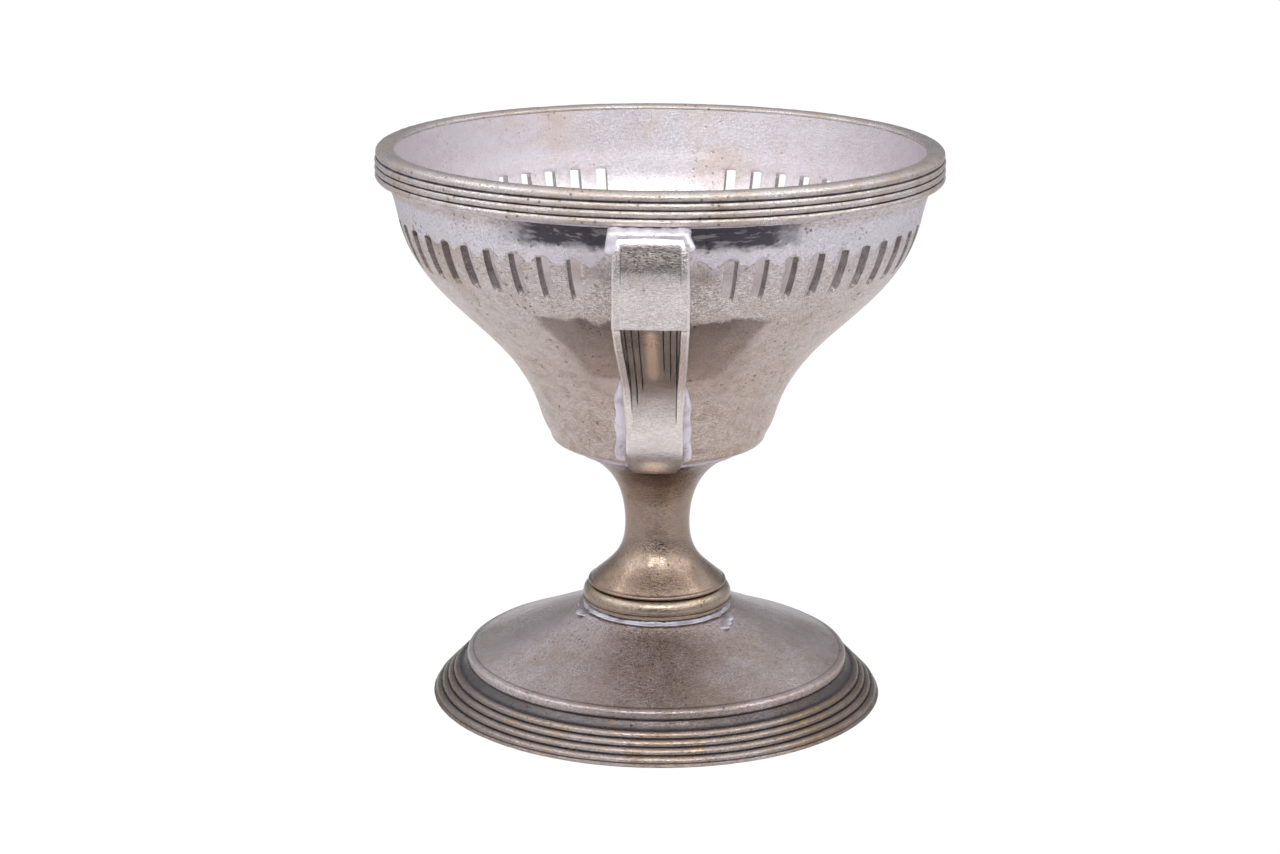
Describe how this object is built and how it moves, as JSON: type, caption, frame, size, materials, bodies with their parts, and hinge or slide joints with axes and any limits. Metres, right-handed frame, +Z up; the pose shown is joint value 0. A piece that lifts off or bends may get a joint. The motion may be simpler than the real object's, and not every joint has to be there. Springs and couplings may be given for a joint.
{
  "type": "pedestal cup",
  "caption": "Handled metal cup on a turned stem and domed foot, its ogee bowl pierced by upright slots, with reeded borders at rim and foot.",
  "frame": {"origin": "centre of the foot's underside, on the surface it stands on", "axes": "+Z up along the axis of the stem; the front handle faces -Y and the back handle +Y"},
  "size_m": [0.096, 0.1016, 0.097],
  "materials": {
    "silver_plate": "worn silver plate on nickel silver, satin, finely scratched",
    "worn_plate": "plate worn through to warm nickel silver, satin, mottled",
    "solder": "pale silver solder, dull"
  },
  "bodies": {
    "root": {"bowl": "silver_plate", "rim_border": "silver_plate", "handle_front": "silver_plate", "handle_back": "silver_plate", "foot": "silver_plate", "foot_border": "silver_plate", "stem": "worn_plate", "stem_ring": "worn_plate", "rim_solder": "solder", "handle_front_top_solder": "solder", "handle_back_top_solder": "solder", "handle_front_side_solder": "solder", "handle_back_side_solder": "solder", "bowl_solder": "solder", "foot_solder": "solder", "foot_border_solder": "solder"}
  },
  "joints": []
}
